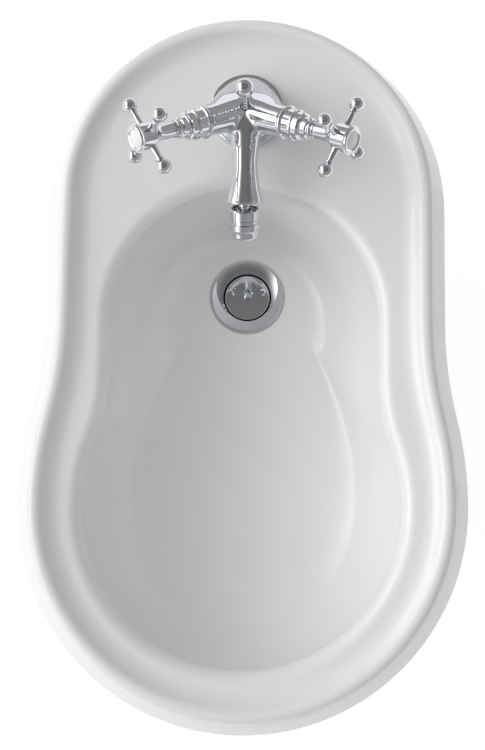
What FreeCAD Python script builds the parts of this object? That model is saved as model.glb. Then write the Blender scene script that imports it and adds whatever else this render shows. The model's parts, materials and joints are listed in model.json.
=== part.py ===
"""Floor-standing bidet: glazed ceramic body, two-handle tap with swivel nozzle, pop-up waste.

Millimetres, +Z up, origin on the floor under the middle of the rim. The user sits at -Y
and the tap stands at +Y. Every piece is modelled in the closed, resting pose: both valves
shut, the knob pulled up and the plug seated.
"""
import FreeCAD, Part
import math
import os
import Sketcher
from types import SimpleNamespace

from FreeCAD import Placement, Rotation, Vector

SIZES = {
    # Rim of the ceramic body, seen from above: two round ends, sides straight and then flaring
    "rim_length": 580.0,
    "rim_back_r": 162.0,
    "rim_front_r": 179.0,
    "rim_straight": 97.0,
    "rim_height": 400.0,
    # Collar under the crest, crest and the hollow moulding down to the deck
    "collar_height": 39.0,
    "crest_inset": 21.0,
    "crest_r": 6.5,
    "deck_inset": 40.0,
    "deck_drop": 9.0,
    "deck_thick": 15.0,
    # Bowl: mouth measured from the rim, rounded lip, depth and fullness of its wall
    "mouth_from_tap": 60.5,
    "mouth_from_front": 52.0,
    "mouth_side_back": 56.0,
    "mouth_side_front": 55.0,
    "mouth_straight": 45.0,
    "lip_r": 11.0,
    "bowl_depth": 110.0,
    "bowl_fullness": 2.5,
    # Pedestal: plinth set in from the rim's ends, waist and the shell around the hollow inside
    "foot_back_inset": 65.0,
    "foot_front_inset": 100.0,
    "foot_back_r": 108.0,
    "foot_front_r": 116.0,
    "foot_straight": 71.0,
    "plinth_height": 42.0,
    "plinth_bevel": 10.0,
    "waist_inset": 22.0,
    "waist_height": 130.0,
    "under_collar_inset": 14.0,
    "shell": 13.0,
    "foot_wall": 30.0,
    "pipe_arch_r": 52.0,
    "pipe_arch_height": 156.0,
    "floor_hole_r": 4.5,
    "floor_hole_inset": 8.0,
    # Tap hole and drain positions on the midline
    "tap_setback": 90.5,
    "tap_hole_r": 18.0,
    "drain_from_tap": 126.5,
    # Pop-up waste: flange, seals, body, tail pipe
    "flange_r": 32.2,
    "flange_rim": 1.6,
    "flange_dish": 3.6,
    "flange_recess": 2.5,
    "flange_thread": 26.0,
    "plug_r": 20.0,
    "plug_thick": 3.6,
    "plug_crown": 1.4,
    "plug_stem_r": 3.5,
    "stem_gap": 0.3,
    "plug_gap": 0.6,
    "plug_seal_r": 1.2,
    "waste_bore_r": 17.6,
    "waste_tube_r": 19.4,
    "waste_body_r": 22.0,
    "waste_body_length": 100.0,
    "waste_hole_r": 23.0,
    "seal_thick": 1.5,
    "lock_nut_r": 31.0,
    "lock_nut_height": 8.0,
    "tail_r": 16.0,
    "tail_collar_r": 16.9,
    "tail_bore_r": 14.4,
    "tail_length": 95.0,
    "tail_grip": 22.0,
    "tail_fit": 0.15,
    # Lever that lifts the plug, its pivot and the strap on the lift rod
    "pivot_drop": 62.0,
    "pivot_from_drain": 30.0,
    "pivot_ball_r": 6.0,
    "pivot_gap": 0.3,
    "pivot_boss_r": 12.0,
    "pivot_bore_r": 9.0,
    "pivot_seat_half": 4.2,
    "pivot_nut_r": 15.0,
    "lever_r": 3.0,
    "lever_overhang": 10.0,
    "strap_width": 13.0,
    "strap_thick": 1.6,
    "strap_height": 86.0,
    "strap_foot": 14.0,
    "strap_lug_gap": 18.0,
    "strap_hole_pitch": 14.0,
    "strap_hole_gap": 0.7,
    "strap_stand_off": 5.0,
    "strap_screw_r": 2.4,
    "knob_travel": 26.0,
    # Lift rod with its turned knob
    "rod_forward": 14.0,
    "rod_r": 2.5,
    "rod_tail": 6.0,
    "knob_height": 85.0,
    "knob_r": 6.9,
    "knob_stem": 45.0,
    "knob_socket": 10.0,
    "bead_r": 3.3,
    "bead_height": 5.0,
    "rod_hole_r": 4.0,
    "guide_height": 8.0,
    # Tap body: base ring, bell, branches for the valves
    "base_r": 30.0,
    "base_height": 6.0,
    "spigot_r": 22.0,
    "bell_r": 27.0,
    "bell_waist_r": 15.5,
    "branch_forward": 12.0,
    "branch_height": 34.0,
    "branch_rise": 31.0,
    "branch_sweep": 28.0,
    "branch_root_r": 14.0,
    "branch_end_r": 11.2,
    "branch_length": 41.0,
    "inlet_r": 4.6,
    "inlet_x": 8.5,
    "inlet_back": 0.5,
    "inlet_depth": 16.0,
    # Fixing under the deck
    "stud_r": 4.0,
    "stud_back": 12.0,
    "stud_length": 62.0,
    "stud_grip": 12.0,
    "washer_r": 27.0,
    "washer_slot": 28.0,
    "washer_seal": 3.0,
    "washer_plate": 3.0,
    "fixing_nut_r": 7.6,
    "fixing_nut_height": 8.0,
    # Spout and swivel nozzle
    "spout_reach": 82.0,
    "spout_drop": 26.0,
    "spout_lift": 14.0,
    "spout_tilt": 22.0,
    "spout_neck_r": 9.5,
    "spout_lip_r": 14.9,
    "spout_wall": 1.6,
    "mouth_depth": 5.0,
    "shank_r": 6.4,
    "shank_length": 15.0,
    "collar_r": 9.0,
    "nozzle_tilt": 34.0,
    "ball_forward": 9.0,
    "ball_r": 7.5,
    "ball_neck_r": 4.4,
    "ball_gap": 0.3,
    "seat_thick": 1.6,
    "seat_half": 4.0,
    "nozzle_r": 11.3,
    "nozzle_tip_r": 9.2,
    "nozzle_head": 5.0,
    "nozzle_length": 18.6,
    "insert_r": 8.0,
    "insert_foot": 10.0,
    # Quarter-turn valves and bonnets, measured along each branch
    "valve_bore_r": 9.0,
    "valve_bore_depth": 16.0,
    "valve_fit": 0.1,
    "valve_seal_thick": 1.8,
    "disc_r": 7.0,
    "disc_thick": 3.0,
    "valve_flange_thick": 3.0,
    "valve_neck_r": 6.6,
    "spindle_r": 4.0,
    "spindle_fit": 0.05,
    "bonnet_r": 12.8,
    "bonnet_length": 27.0,
    "bonnet_crown": 9.0,
    # Cross handles
    "handle_gap": 0.4,
    "skirt_length": 20.1,
    "hub_r": 9.8,
    "hub_back": 4.0,
    "hub_front": 8.0,
    "skirt_r": 5.8,
    "cross_r": 26.4,
    "cross_ball_r": 5.5,
    "cross_arm_r": 2.3,
    "bezel_r": 10.5,
    "bezel_height": 3.0,
    "index_r": 6.5,
    "index_depth": 7.5,
    "spindle_drop": 13.0,
    "screw_grip": 8.0,
    "screw_r": 2.0,
    "screw_head_r": 3.8,
    "hot_phase": 3.0,
    "cold_phase": 6.0,
}

DEG = math.pi / 180.0


class Size:
    """A size with its spreadsheet expression, so that one formula gives number and link."""

    def __init__(self, number, text):
        self.number = number
        self.text = text

    def __add__(self, other):
        other = as_size(other)
        return Size(self.number + other.number, f"({self.text} + {other.text})")

    def __sub__(self, other):
        other = as_size(other)
        return Size(self.number - other.number, f"({self.text} - {other.text})")

    def __mul__(self, other):
        other = as_size(other)
        return Size(self.number * other.number, f"({self.text} * {other.text})")

    def __truediv__(self, other):
        other = as_size(other)
        return Size(self.number / other.number, f"({self.text} / {other.text})")

    def __rsub__(self, other):
        return as_size(other) - self

    def __neg__(self):
        return as_size(0.0) - self

    __radd__ = __add__
    __rmul__ = __mul__


def as_size(value):
    if isinstance(value, Size):
        return value
    return Size(float(value), repr(float(value)))


def num(value):
    return as_size(value).number


doc = FreeCAD.newDocument("bidet")
sheet = doc.addObject("Spreadsheet::Sheet", "sizes")
for row, (alias, value) in enumerate(SIZES.items(), start=1):
    sheet.set(f"A{row}", alias)
    sheet.set(f"B{row}", str(value))
    sheet.setAlias(f"B{row}", alias)
doc.recompute()
dim = SimpleNamespace(**{a: Size(float(sheet.get(a)), f"sizes.{a}") for a in SIZES})
val = SimpleNamespace(**{a: float(sheet.get(a)) for a in SIZES})
subparts = []


# Shared levels and places

DECK = val.rim_height - val.deck_drop
TAP_Y = val.rim_length / 2 - val.tap_setback
DRAIN_Y = TAP_Y - val.drain_from_tap
FLOOR = DECK - val.lip_r - val.bowl_depth
SEAT_DEPTH = dim.flange_rim + dim.flange_dish + dim.seal_thick + 3.0
TAP = Placement(Vector(0, TAP_Y, DECK), Rotation())
DRAIN = Placement(Vector(0, DRAIN_Y, FLOOR), Rotation())


# Drawing helpers

def keep(piece, label, place=None):
    """Name a finished piece, put it in its place and list it for export."""
    piece.Label = label
    if place is not None:
        piece.Placement = place
    subparts.append(piece)
    return piece


def new_body(label):
    return doc.addObject("PartDesign::Body", label)


def origin_feature(body, role):
    return next(f for f in body.Origin.OriginFeatures if f.Role == role)


def new_sketch(body, role="XZ_Plane", offset=None):
    sketch = body.newObject("Sketcher::SketchObject", f"{body.Name}_sketch")
    sketch.AttachmentSupport = [(origin_feature(body, role), "")]
    sketch.MapMode = "FlatFace"
    if offset is not None:
        sketch.AttachmentOffset = offset
    return sketch


def bind(sketch, kind, refs, size):
    """Add a dimension to a sketch and link it to the sheet."""
    size = as_size(size)
    index = sketch.addConstraint(Sketcher.Constraint(kind, *refs, size.number))
    sketch.setExpression(f"Constraints[{index}]", size.text)


def arc_between(start, end, radius):
    """Arc of a signed radius: positive turns anticlockwise from start to end."""
    chord = end - start
    half = chord.Length / 2
    rise = math.sqrt(max(radius * radius - half * half, 0.0))
    normal = Vector(-chord.y, chord.x, 0).normalize()
    centre = (start + end) * 0.5 + normal * math.copysign(rise, radius)
    first, last = (start, end) if radius > 0 else (end, start)
    angles = [math.atan2(p.y - centre.y, p.x - centre.x) for p in (first, last)]
    if angles[1] <= angles[0]:
        angles[1] += 2 * math.pi
    circle = Part.Circle(centre, Vector(0, 0, 1), abs(radius))
    return Part.ArcOfCircle(circle, angles[0], angles[1])


def draw_section(sketch, corners):
    """Draw a closed section anticlockwise from corners (across, up) or (across, up, arc radius).

    The radius belongs to the arc that arrives at its corner; a positive one bulges outwards.
    """
    points = [Vector(num(c[0]), num(c[1]), 0) for c in corners]
    ends = []
    for place, corner in enumerate(corners):
        start, end = points[place - 1], points[place]
        if len(corner) == 3:
            index = sketch.addGeometry(arc_between(start, end, num(corner[2])), False)
            ends.append((index, 1, 2) if num(corner[2]) > 0 else (index, 2, 1))
        else:
            index = sketch.addGeometry(Part.LineSegment(start, end), False)
            ends.append((index, 1, 2))
    for place, corner in enumerate(corners):
        index, _, last = ends[place]
        follower, first, _ = ends[(place + 1) % len(corners)]
        sketch.addConstraint(Sketcher.Constraint("Coincident", index, last, follower, first))
        for kind, axis, coordinate in (("DistanceX", -2, corner[0]), ("DistanceY", -1, corner[1])):
            if num(coordinate) == 0.0:
                sketch.addConstraint(Sketcher.Constraint("PointOnObject", index, last, axis))
            else:
                bind(sketch, kind, (-1, 1, index, last), coordinate)
        if len(corner) == 3:
            radius = as_size(corner[2])
            bind(sketch, "Radius", (index,), radius if radius.number > 0 else -radius)


def revolve(body, corners, offset=None, role="XZ_Plane", axis="V_Axis", cut=False):
    """Turn a section around an axis of its own sketch, adding or cutting material."""
    sketch = new_sketch(body, role, offset)
    draw_section(sketch, corners)
    kind = "PartDesign::Groove" if cut else "PartDesign::Revolution"
    feature = body.newObject(kind, f"{body.Name}_turn")
    feature.Profile = sketch
    feature.ReferenceAxis = (sketch, [axis])
    feature.Angle = 360.0
    return feature


def turned(label, corners, place):
    """A turned piece: one section spun around its own Z axis."""
    body = new_body(label)
    revolve(body, corners)
    return keep(body, label, place)


def circle_section(body, radius, offset):
    sketch = new_sketch(body, "XY_Plane", offset)
    index = sketch.addGeometry(Part.Circle(Vector(0, 0, 0), Vector(0, 0, 1), num(radius)), False)
    sketch.addConstraint(Sketcher.Constraint("Coincident", index, 3, -1, 1))
    bind(sketch, "Radius", (index,), radius)
    return sketch


def loft(body, sections):
    feature = body.newObject("PartDesign::AdditiveLoft", f"{body.Name}_loft")
    feature.Profile = sections[0]
    feature.Sections = sections[1:]
    return feature


def primitive(kind, name, place=None, **properties):
    """A Part primitive whose properties are linked to the sheet."""
    piece = doc.addObject(kind, name)
    for key, size in properties.items():
        size = as_size(size)
        setattr(piece, key, size.number)
        piece.setExpression(key, size.text)
    if place is not None:
        piece.Placement = place
    return piece


def cut_away(name, base, tools):
    """Base minus all tools."""
    tool = tools[0]
    if len(tools) > 1:
        tool = doc.addObject("Part::MultiFuse", f"{name}_tools")
        tool.Shapes = tools
    piece = doc.addObject("Part::Cut", name)
    piece.Base = base
    piece.Tool = tool
    return piece


def moved(frame, x=0.0, y=0.0, z=0.0):
    """A frame shifted along its own axes."""
    return frame * Placement(Vector(num(x), num(y), num(z)), Rotation())


# Ceramic body

class Pear:
    """Outline of two round ends whose sides run straight and then flare towards the front."""

    def __init__(self, back_end, front_end, back_r, front_r, straight):
        self.sizes = (back_end, front_end, back_r, front_r, straight)

    def inset(self, distance):
        back_end, front_end, back_r, front_r, straight = self.sizes
        return Pear(back_end - distance, front_end + distance,
                    back_r - distance, front_r - distance, straight)

    def blend(self, other, share):
        return Pear(*(a + (b - a) * share for a, b in zip(self.sizes, other.sizes)))

    def wire(self, level):
        """Closed wire at one level, from the middle of the back round the right-hand side."""
        back_end, front_end, back_r, front_r, straight = self.sizes
        back_y = back_end - back_r
        front_y = front_end + front_r
        flare = back_y - front_y - straight
        turn = 2 * math.atan2(front_r - back_r, flare)
        bend_r = flare / (2 * math.sin(turn))
        half_x = bend_r * (1 - math.cos(turn / 2))
        half_y = bend_r * math.sin(turn / 2)
        eighth = math.sqrt(0.5)
        side = [
            (0, back_end), (back_r * eighth, back_y + back_r * eighth), (back_r, back_y),
            None, (back_r, front_y + flare),
            (back_r + half_x, front_y + flare - half_y), ((back_r + front_r) / 2, front_y + flare / 2),
            (front_r - half_x, front_y + half_y), (front_r, front_y),
            (front_r * eighth, front_y - front_r * eighth), (0, front_end),
        ]
        right = [p and Vector(p[0], p[1], level) for p in side]
        left = [p and Vector(-p[0], p[1], level) for p in reversed(side)]
        edges = []
        for points in (right, left):
            for start, middle, end in zip(points[0::2], points[1::2], points[2::2]):
                curve = Part.Arc(start, middle, end) if middle else Part.LineSegment(start, end)
                edges.append(curve.toShape())
        return Part.Wire(edges)

    def prism(self, low, high):
        return Part.Face(self.wire(low)).extrude(Vector(0, 0, high - low))


def loft_solid(sections, ruled=False):
    """Solid through (outline, level) pairs."""
    return Part.makeLoft([outline.wire(level) for outline, level in sections], True, ruled)


def smooth_step(share):
    return share * share * (3 - 2 * share)


def swept_ring(outline, level, corners):
    """Sweep a section of (outwards, level) lines and arcs around an outline."""
    path = outline.wire(level)
    back_end = outline.sizes[0]
    points = [[Vector(0, back_end + out, up) for out, up in corner] for corner in corners]
    edges = []
    for place, corner in enumerate(points):
        start = points[place - 1][-1]
        curve = Part.Arc(start, *corner) if len(corner) == 2 else Part.LineSegment(start, corner[0])
        edges.append(curve.toShape())
    ring = path.makePipeShell([Part.Wire(edges)], True, False)
    return ring


def collar_ring(rim):
    """Slanted collar, rounded crest and hollow moulding as one swept section."""
    base = val.rim_height - val.collar_height
    crest = Vector(-val.crest_inset, val.rim_height - val.crest_r)
    reach = Vector(crest.x, crest.y - base)
    angle = math.atan2(reach.y, reach.x) - math.asin(val.crest_r / reach.Length)
    run = math.sqrt(reach.Length ** 2 - val.crest_r ** 2)
    slant_top = (run * math.cos(angle), base + run * math.sin(angle))
    # The hollow moulding touches the deck at its toe and the crest at its top
    width = val.deck_inset - val.crest_inset
    moulding_r = (width ** 2 + val.deck_drop ** 2) / (2 * val.deck_drop) - val.crest_r
    toe = Vector(-val.deck_inset, DECK)
    centre = Vector(toe.x, DECK + moulding_r)
    to_centre = Vector(centre.x - crest.x, centre.y - crest.y).normalize()
    join = (crest.x + to_centre.x * val.crest_r, crest.y + to_centre.y * val.crest_r)
    half = math.atan2(join[0] - centre.x, centre.y - join[1]) / 2
    moulding_mid = (centre.x + moulding_r * math.sin(half), centre.y - moulding_r * math.cos(half))
    crest_top = (crest.x, val.rim_height)
    inner = -val.deck_inset - val.shell
    section = [
        [(0.0, base)], [slant_top], [crest_top, join], [moulding_mid, (toe.x, toe.y)],
        [(inner, DECK)], [(inner, base)],
    ]
    return swept_ring(rim, base, section)


def bowl_sections(mouth, spread):
    """Bowl outlines from the lip down to the floor; a spread gives the outside of the shell."""
    drain_r = val.flange_r + val.flange_recess + 2.0
    drain = Pear(DRAIN_Y + drain_r, DRAIN_Y - 1.5 * drain_r, drain_r, 1.05 * drain_r, 0.05 * drain_r)
    full = val.bowl_fullness
    sections = []
    for sink in (0, 0.35, 0.6, 0.78, 0.9, 0.96, 0.99, 0.999, 1.0):
        share = 1 - (1 - sink ** full) ** (1 / full)
        level = DECK - val.lip_r - (val.bowl_depth + spread) * sink
        sections.append((mouth.blend(drain, share).inset(-spread), level))
    return sections


def make_ceramic():
    half = val.rim_length / 2
    rim = Pear(half, -half, val.rim_back_r, val.rim_front_r, val.rim_straight)
    foot_back = half - val.foot_back_inset
    foot = Pear(foot_back, val.foot_front_inset - half,
                val.foot_back_r, val.foot_front_r, val.foot_straight)
    mouth = Pear(TAP_Y - val.mouth_from_tap, -half + val.mouth_from_front,
                 val.rim_back_r - val.mouth_side_back, val.rim_front_r - val.mouth_side_front,
                 val.mouth_straight)
    waist = foot.inset(val.waist_inset)
    under = rim.inset(val.under_collar_inset)
    base = val.rim_height - val.collar_height
    ledge = val.plinth_height + val.plinth_bevel
    shoulder = foot.inset(val.plinth_bevel + 4.0)
    climb = base - val.waist_height
    swell = [(waist.blend(under, smooth_step(s)), val.waist_height + climb * s)
             for s in (0, 0.2, 0.4, 0.6, 0.8, 1)]

    plinth = foot.prism(0, val.plinth_height)
    bevel = loft_solid([(foot, val.plinth_height), (foot.inset(val.plinth_bevel), ledge)], True)
    column = loft_solid(
        [(shoulder, val.plinth_height), (shoulder, ledge),
         (shoulder.blend(waist, 0.75), (ledge + val.waist_height) / 2)]
        + swell + [(under.inset(4.0), DECK - 4.0)])
    slab = rim.inset(val.deck_inset).prism(DECK - val.deck_thick, DECK)
    blank = plinth.fuse([bevel, column, collar_ring(rim), slab])

    inside = loft_solid(
        [(foot.inset(val.foot_wall), -1.0), (foot.inset(val.foot_wall), val.plinth_height)]
        + [(outline.inset(val.shell), level) for outline, level in swell[:-1]]
        + [(under.inset(1.5 * val.shell), base), (rim.inset(val.deck_inset), DECK - val.deck_thick)])
    bowl_outside = bowl_sections(mouth, val.shell)
    outside = loft_solid(bowl_outside).fuse(bowl_outside[0][0].prism(DECK - val.lip_r, DECK + 1.0))
    hollow = inside.cut(outside)

    bowl = bowl_sections(mouth, 0.0)
    lip_level = DECK - val.lip_r
    arc = val.lip_r * (1 - math.sqrt(0.5))
    above = DECK + 2.0
    lip = swept_ring(mouth, lip_level, [
        [(0.0, lip_level)], [(arc, DECK - arc), (val.lip_r, DECK)],
        [(val.lip_r, above)], [(-1.0, above)], [(-1.0, lip_level)]])
    cutters = [hollow, loft_solid(bowl), mouth.prism(lip_level, above), lip]

    # Holes: tap, waste with its conical seat, floor screws and the pipe arch at the back
    tap_hole = TAP.Base - Vector(0, 0, 2 * val.deck_thick)
    cutters.append(Part.makeCylinder(val.tap_hole_r, 4 * val.deck_thick, tap_hole))
    seat_r = val.flange_r + val.flange_recess
    seat_foot = -num(SEAT_DEPTH)
    below = -3 * val.shell
    profile = [(0, below), (val.waste_hole_r, below), (val.waste_hole_r, seat_foot),
               (seat_r, 0), (seat_r, 2.0), (0, 2.0)]
    corners = [DRAIN.Base + Vector(r, 0, level) for r, level in profile]
    waste_hole = Part.Face(Part.makePolygon(corners + corners[:1]))
    cutters.append(waste_hole.revolve(DRAIN.Base, Vector(0, 0, 1), 360.0))
    hole_y = foot_back - val.foot_back_r - 20.0
    hole_x = val.foot_back_r - val.floor_hole_inset
    for side in (-1, 1):
        start = Vector(side * hole_x, hole_y, -1.0)
        cutters.append(Part.makeCylinder(val.floor_hole_r, ledge + 1.5, start))
    arch_y = foot_back - 1.5 * val.pipe_arch_r
    arch_top = Vector(0, arch_y, val.pipe_arch_height)
    cutters.append(Part.makeCylinder(val.pipe_arch_r, val.rim_length, arch_top, Vector(0, 1, 0)))
    corner = Vector(-val.pipe_arch_r, arch_y, -1.0)
    cutters.append(Part.makeBox(2 * val.pipe_arch_r, val.rim_length, val.pipe_arch_height + 1.0, corner))
    shape = blank
    for cutter in cutters:
        shape = shape.cut(cutter)
    piece = doc.addObject("Part::Feature", "ceramic_body")
    piece.Shape = shape.removeSplitter()
    return keep(piece, "ceramic_body")


make_ceramic()


# Pop-up waste, in the drain's frame: level 0 is the bowl floor

SEAT_SLOPE = SEAT_DEPTH / (dim.flange_r + dim.flange_recess - dim.waste_hole_r)
PLUG_SEAT = -(dim.flange_rim + dim.flange_dish)
PIVOT_Y = DRAIN_Y + val.pivot_from_drain
PIVOT_LEVEL = FLOOR - val.pivot_drop
ROD_Y = TAP_Y - val.rod_forward
LEVER_REACH = ROD_Y + val.strap_stand_off + val.strap_thick / 2 - PIVOT_Y
LEVER_TILT = val.knob_travel / LEVER_REACH / 2
PIVOT = Placement(Vector(0, PIVOT_Y, PIVOT_LEVEL), Rotation(Vector(1, 0, 0), -90))


def seat_level(radius, lift):
    """Level on the conical seat of the flange, lifted off it."""
    return (radius - dim.waste_hole_r) * SEAT_SLOPE - SEAT_DEPTH + lift


def make_flange():
    """Dished polished rim, seat for the plug and the threaded tube below."""
    tube_end = -(dim.shell + dim.flange_thread)
    shoulder = dim.waste_hole_r - 0.6
    rim = dim.flange_r - 0.4
    lift = dim.seal_thick + 0.2
    turned("waste_flange", [
        (dim.waste_bore_r, tube_end), (dim.waste_tube_r, tube_end),
        (dim.waste_tube_r, seat_level(shoulder, lift)), (shoulder, seat_level(shoulder, lift)),
        (rim, seat_level(rim, lift)), (dim.flange_r, seat_level(rim, lift) + 0.8),
        (dim.flange_r - 1.2, dim.flange_rim - 0.6, 1.5),
        (dim.plug_r + 1.6, PLUG_SEAT + 2.4, -40.0),
        (dim.plug_r + dim.plug_gap, PLUG_SEAT), (dim.waste_bore_r, PLUG_SEAT - 2.4)], DRAIN)
    inner = dim.waste_hole_r + 0.2
    turned("flange_seal", [
        (inner, seat_level(inner, 0.1)), (rim - 0.8, seat_level(rim - 0.8, 0.1)),
        (rim - 0.8, seat_level(rim - 0.8, dim.seal_thick)),
        (inner, seat_level(inner, dim.seal_thick))], DRAIN)


def make_plug():
    """Slightly domed plug with a seal ring under its edge and a stem down to the lever."""
    lever_top = (-val.pivot_drop - val.pivot_from_drain * math.tan(LEVER_TILT)
                 + val.lever_r / math.cos(LEVER_TILT) + val.plug_stem_r * math.tan(LEVER_TILT))
    foot = lever_top + dim.stem_gap
    edge = PLUG_SEAT + 2.4
    under = edge - dim.plug_thick
    land = dim.plug_r - 4.6
    top_r = dim.plug_r - 0.8
    dome_r = (top_r * top_r + dim.plug_crown * dim.plug_crown) / (dim.plug_crown * 2)
    turned("waste_plug", [
        (0, foot), (dim.plug_stem_r, foot), (dim.plug_stem_r, under - 6.0),
        (dim.plug_stem_r + 3.0, under - 1.0), (land, under - 1.0), (land, edge - 2.0),
        (dim.plug_r - 0.4, edge - 2.0), (dim.plug_r, edge - 1.4, 0.6),
        (dim.plug_r, edge - 0.6), (top_r, edge, 0.8), (0, edge + dim.plug_crown, dome_r)], DRAIN)
    ring = primitive("Part::Torus", "plug_seal",
                     Radius1=land + 0.1 + dim.plug_seal_r, Radius2=dim.plug_seal_r)
    keep(ring, "plug_seal", moved(DRAIN, z=edge - 2.1 - dim.plug_seal_r))


def make_waste_body():
    """Tube under the bowl with a side port for the lever and a socket for the tail pipe."""
    body = new_body("waste_body")
    top = -(dim.shell - 1.5)
    foot = top - dim.waste_body_length
    socket_r = dim.tail_collar_r + dim.tail_fit
    foot_r = socket_r + 4.0
    stop = foot + dim.tail_grip
    thread_end = -(dim.shell + dim.flange_thread + 2.0)
    revolve(body, [
        (0, foot), (foot_r, foot), (foot_r, stop + 4.0), (dim.waste_body_r, stop + 8.0),
        (dim.waste_body_r, top), (0, top)])
    port = Placement(Vector(0, -val.pivot_drop, 0), Rotation())
    boss_end = dim.pivot_from_drain + 4.0
    revolve(body, [(10.0, 0), (boss_end, 0), (boss_end, dim.pivot_boss_r), (10.0, dim.pivot_boss_r)],
            port, "YZ_Plane", "H_Axis")
    bore_r = dim.waste_body_r - 3.4
    thread_r = dim.waste_tube_r + dim.tail_fit
    revolve(body, [
        (0, foot - 1.0), (socket_r, foot - 1.0), (socket_r, stop), (dim.tail_bore_r, stop),
        (dim.tail_bore_r, stop + 3.0), (bore_r, stop + 8.0), (bore_r, thread_end), (thread_r, thread_end),
        (thread_r, top + 1.0), (0, top + 1.0)], cut=True)
    seat_back = dim.pivot_from_drain - dim.pivot_seat_half - 0.1
    revolve(body, [
        (10.0, 0), (boss_end + 1.0, 0), (boss_end + 1.0, dim.pivot_bore_r), (seat_back, dim.pivot_bore_r),
        (seat_back, dim.pivot_bore_r - 2.0), (10.0, dim.pivot_bore_r - 2.0)],
        port, "YZ_Plane", "H_Axis", cut=True)
    keep(body, "waste_body", DRAIN)
    tail_top = stop - 0.2
    tail_end = tail_top - dim.tail_length
    collar_foot = foot - 1.0
    turned("tail_pipe", [
        (dim.tail_bore_r, tail_end), (dim.tail_r, tail_end), (dim.tail_r, collar_foot),
        (dim.tail_collar_r, collar_foot), (dim.tail_collar_r, tail_top), (dim.tail_bore_r, tail_top)],
        DRAIN)

    # Rubber seal and lock nut that clamp the body against the underside of the bowl
    clamp_r = dim.waste_body_r + 0.1
    turned("body_seal", [
        (clamp_r, -dim.shell - 4.0), (dim.lock_nut_r - 3.0, -dim.shell - 4.0),
        (dim.lock_nut_r - 3.0, -dim.shell), (clamp_r, -dim.shell)], DRAIN)
    place = moved(DRAIN, z=-dim.shell - 4.0 - dim.lock_nut_height)
    blank = primitive("Part::Prism", "lock_nut_blank", place,
                      Circumradius=dim.lock_nut_r, Height=dim.lock_nut_height)
    hole = primitive("Part::Cylinder", "lock_nut_hole", place,
                     Radius=clamp_r, Height=dim.lock_nut_height)
    keep(cut_away("lock_nut", blank, [hole]), "lock_nut")


def make_lever():
    """Ball-pivoted lever, its plastic seat and the nut that closes the port."""
    ball = dim.pivot_ball_r
    swell = math.sqrt(val.pivot_ball_r ** 2 - val.lever_r ** 2)
    inner = -(val.pivot_from_drain / math.cos(LEVER_TILT)) - dim.lever_r - 2.0
    outer = LEVER_REACH / math.cos(LEVER_TILT) + dim.lever_overhang
    tip_r = dim.lever_r - 0.8
    place = Placement(PIVOT.Base, Rotation(Vector(1, 0, 0), -90 + LEVER_TILT / DEG))
    turned("plug_lever", [
        (0, inner), (tip_r, inner), (dim.lever_r, inner + 0.8), (dim.lever_r, -swell),
        (dim.lever_r, swell, ball), (dim.lever_r, outer - 0.8), (tip_r, outer), (0, outer)], place)
    half = dim.pivot_seat_half
    hollow_r = ball + dim.pivot_gap
    opening = math.sqrt(num(hollow_r) ** 2 - num(half) ** 2)
    seat_r = dim.pivot_bore_r - 0.1
    turned("pivot_seat", [
        (opening, -half, -hollow_r), (seat_r, -half), (seat_r, half), (opening, half)], PIVOT)
    thread_r = dim.pivot_boss_r + 0.1
    face = half + 0.1
    turned("pivot_nut", [
        (thread_r, -half - 1.0), (dim.pivot_nut_r, -half - 1.0), (dim.pivot_nut_r, face + 3.0),
        (dim.pivot_nut_r - 1.0, face + 4.0), (opening + 1.6, face + 4.0), (opening + 1.6, face),
        (thread_r, face)], PIVOT)


def make_strap():
    """Perforated strap that links the lift rod to the lever, with its clamping screw."""
    crossing = PIVOT_LEVEL + LEVER_REACH * math.tan(LEVER_TILT)
    frame = Placement(Vector(0, ROD_Y, crossing), Rotation())
    back = dim.strap_stand_off
    low = -dim.strap_foot
    high = low + dim.strap_height
    half = dim.strap_width / 2
    lug_gap = dim.strap_lug_gap
    plate = primitive("Part::Box", "strap_plate", moved(frame, -half, back, low),
                      Length=dim.strap_width, Width=dim.strap_thick, Height=dim.strap_height)
    lugs = []
    for level in (high - dim.strap_thick, high - dim.strap_thick - lug_gap):
        lugs.append(primitive("Part::Box", "strap_lug", moved(frame, -half, -back, level),
                              Length=dim.strap_width, Width=dim.strap_stand_off * 2 + dim.strap_thick / 2,
                              Height=dim.strap_thick))
    blank = doc.addObject("Part::MultiFuse", "strap_blank")
    blank.Shapes = [plate] + lugs
    across = Placement(Vector(0, 0, 0), Rotation(Vector(1, 0, 0), -90))
    tools = [primitive("Part::Cylinder", "strap_rod_hole", moved(frame, 0, 0, low),
                       Radius=dim.rod_r + 0.1, Height=dim.strap_height)]
    for step in range(3):
        place = moved(frame, 0, 0, dim.strap_hole_pitch * step) * across
        tools.append(primitive("Part::Cylinder", "strap_hole", place,
                               Radius=dim.lever_r + dim.strap_hole_gap, Height=dim.strap_stand_off * 2))
    screw_level = high - dim.strap_thick / 2 - lug_gap / 2
    screw = moved(frame, 0, 0, screw_level) * across
    tools.append(primitive("Part::Cylinder", "strap_screw_hole", screw,
                           Radius=dim.strap_screw_r + 0.1, Height=dim.strap_stand_off * 2))
    keep(cut_away("lift_strap", blank, tools), "lift_strap")
    face = back + dim.strap_thick + 0.1
    turned("strap_screw", [
        (0, dim.rod_r + 0.1), (dim.strap_screw_r, dim.rod_r + 0.1), (dim.strap_screw_r, face),
        (dim.strap_screw_r + 2.6, face), (dim.strap_screw_r + 2.6, face + 5.0), (0, face + 5.0)], screw)
    return crossing + num(high - dim.strap_thick - lug_gap) - val.rod_tail


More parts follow.
